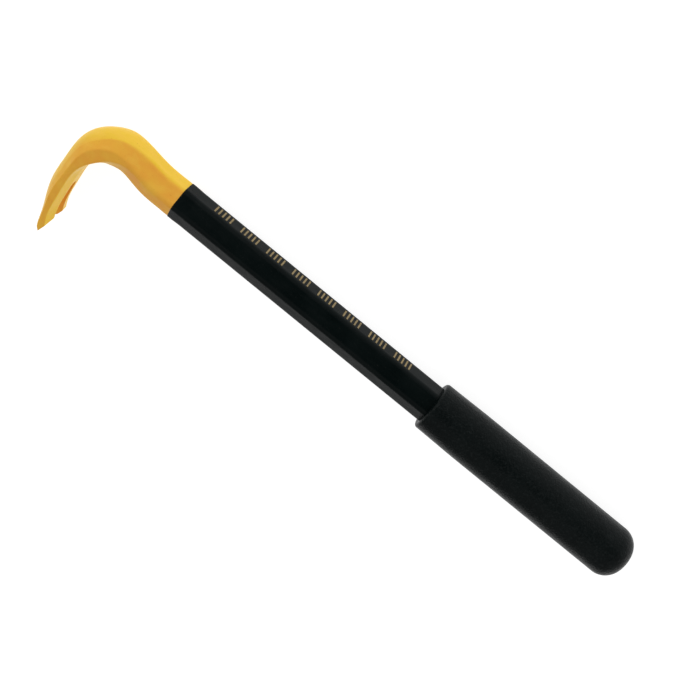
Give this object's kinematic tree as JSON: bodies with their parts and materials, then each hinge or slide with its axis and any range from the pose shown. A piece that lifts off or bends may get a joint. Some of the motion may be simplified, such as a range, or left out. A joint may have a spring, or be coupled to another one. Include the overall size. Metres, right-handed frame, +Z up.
{
  "type": "nail claw pry bar",
  "caption": "Short pry bar: hexagon steel bar bent to a notched nail claw, with enamelled claw, black coated shank and a moulded cushion grip.",
  "frame": {"origin": "centre of the bounding box at its lowest height, under the grip's lowest line, where the tool lies on its side", "axes": "+X runs along the shank from the claw to the grip, +Y points to the back of the hook, away from the claw's points, and +Z is up from the surface the tool lies on"},
  "size_m": [0.2804, 0.0606, 0.0224],
  "materials": {
    "steel": "ground",
    "yellow_enamel": "semi-gloss",
    "black_coat": "satin",
    "grip_rubber": "soft matt",
    "gold_print": "satin"
  },
  "bodies": {
    "root": {"steel_bar": "steel", "claw_enamel": "yellow_enamel", "shank_coat": "black_coat", "grip": "grip_rubber", "marking_bars": "gold_print"}
  },
  "joints": []
}
